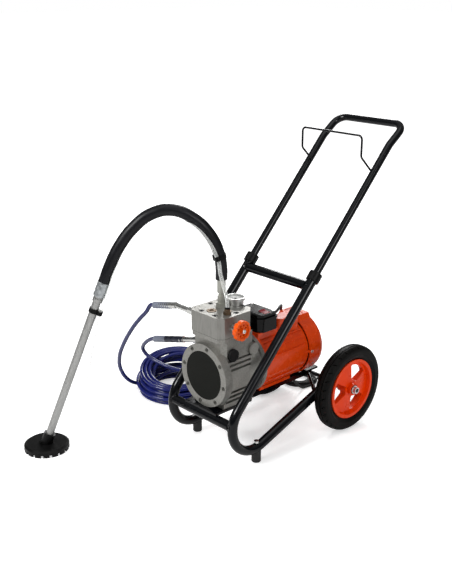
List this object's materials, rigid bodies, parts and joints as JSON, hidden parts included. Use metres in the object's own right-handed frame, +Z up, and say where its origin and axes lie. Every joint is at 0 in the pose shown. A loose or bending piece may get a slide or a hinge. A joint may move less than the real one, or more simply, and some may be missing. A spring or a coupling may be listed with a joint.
{
  "type": "airless paint sprayer",
  "caption": "Electric diaphragm paint pump on a two-wheeled trolley with telescopic handle, suction tube, return tube and coiled high-pressure hose.",
  "frame": {"origin": "floor point under the middle of the trolley, pump, wheels and handle, without the hoses and the mains lead", "axes": "+X towards the pressure control side along the wheel axle, +Y from the pump's round cover back to the push handle, +Z up"},
  "size_m": [0.696, 1.043, 0.8565],
  "materials": {
    "frame_black": "gloss black powder coat",
    "axle_steel": "black oxide steel",
    "zinc": "bright zinc plate",
    "foot_rubber": "matt black rubber",
    "tyre": "black tyre rubber",
    "rim": "orange-red moulded plastic",
    "collar": "black moulded plastic",
    "casting": "sand-grey machined casting",
    "head_block": "brushed machined aluminium",
    "plate": "bare dark plate",
    "gasket": "dark fibre gasket",
    "socket_screw": "black socket screws",
    "steel_inner": "machined steel",
    "copper": "varnished winding",
    "bronze": "dull bronze",
    "fitting": "nickel-plated steel",
    "sleeve_grey": "grey turned fitting",
    "handwheel": "orange moulded plastic",
    "gauge": "polished case",
    "needle": "black",
    "lens": "clear lens",
    "motor_orange": "orange stove enamel",
    "box_black": "black moulded plastic",
    "rocker_red": "red moulded plastic",
    "suction_hose": "smooth black rubber hose",
    "tube_alu": "drawn aluminium",
    "clear_tube": "clear soft tube",
    "hose_blue": "blue hose cover",
    "cable_black": "black rubber cable"
  },
  "bodies": {
    "trolley": {"left_hoop": "frame_black", "right_hoop": "frame_black", "front_crossbar": "frame_black", "brace": "frame_black", "base_plate": "frame_black", "rear_struts": "frame_black", "axle_brackets": "frame_black", "axle": "axle_steel", "axle_nuts": "zinc", "feet": "foot_rubber", "frame_bolts": "zinc", "crankcase": "casting", "front_cover": "casting", "cover_bolts": "zinc", "cover_plate": "plate", "head_gasket": "gasket", "pump_head": "head_block", "head_bolts": "socket_screw", "piston": "steel_inner", "valve_plug": "bronze", "suction_fitting": "sleeve_grey", "return_fitting": "bronze", "outlet_fitting": "fitting", "oil_plug": "box_black", "regulator_stem": "fitting", "gauge_case": "gauge", "gauge_lens": "lens", "motor_housing": "motor_orange", "stator": "copper", "bearings": "steel_inner", "fan_cover": "motor_orange", "terminal_box": "box_black", "box_lid": "box_black", "capacitor_cover": "motor_orange", "lead_gland": "box_black", "suction_hose": "suction_hose", "suction_tube": "tube_alu", "strainer": "box_black", "return_tube": "clear_tube", "tube_clips": "box_black", "hose_ends": "fitting", "hose_lead": "hose_blue", "hose_coil": "hose_blue", "hose_tail": "hose_blue", "power_lead": "cable_black", "lead_coil": "cable_black", "plug_lead": "cable_black", "mains_plug": "cable_black"},
    "wheel_left": {"tyre_left": "tyre", "rim_left": "rim"},
    "wheel_right": {"tyre_right": "tyre", "rim_right": "rim"},
    "handle": {"handle": "frame_black", "hanger_rod": "frame_black"},
    "collar_left": {"collar_left": "collar"},
    "collar_right": {"collar_right": "collar"},
    "handwheel": {"handwheel": "handwheel"},
    "rocker_switch": {"rocker_switch": "rocker_red"},
    "rotor": {"rotor": "steel_inner"},
    "gauge_needle": {"gauge_needle": "needle"}
  },
  "joints": [
    {"name": "wheel_left_spin", "type": "hinge", "parent": "trolley", "child": "wheel_left", "pos_m": [-0.159, 0.086, 0.127], "axis": [1, 0, 0], "continuous": true},
    {"name": "wheel_right_spin", "type": "hinge", "parent": "trolley", "child": "wheel_right", "pos_m": [0.159, 0.086, 0.127], "axis": [1, 0, 0], "continuous": true},
    {"name": "handle_slide", "type": "slide", "parent": "trolley", "child": "handle", "axis": [0, 0.682, 0.7314], "range_m": [-0.24, 0]},
    {"name": "collar_left_twist", "type": "hinge", "parent": "trolley", "child": "collar_left", "pos_m": [-0.12, -0.029, 0.478], "axis": [0, 0.682, 0.7314], "range_deg": [0, 90]},
    {"name": "collar_right_twist", "type": "hinge", "parent": "trolley", "child": "collar_right", "pos_m": [0.12, -0.029, 0.478], "axis": [0, 0.682, 0.7314], "range_deg": [0, 90]},
    {"name": "pressure_control", "type": "hinge", "parent": "trolley", "child": "handwheel", "pos_m": [0.09, -0.277, 0.381], "axis": [1, 0, 0], "range_deg": [-720, 720]},
    {"name": "power_switch", "type": "hinge", "parent": "trolley", "child": "rocker_switch", "pos_m": [0.028, -0.126, 0.371], "axis": [0, 1, 0], "range_deg": [-16, 0]},
    {"name": "motor_shaft", "type": "hinge", "parent": "trolley", "child": "rotor", "pos_m": [0, -0.15, 0.239], "axis": [0, 1, 0], "continuous": true},
    {"name": "gauge_pointer", "type": "hinge", "parent": "trolley", "child": "gauge_needle", "pos_m": [-0.002, -0.207, 0.4255], "axis": [0, 0, -1], "range_deg": [0, 270], "stiffness_Nm_per_rad": 0.001}
  ]
}
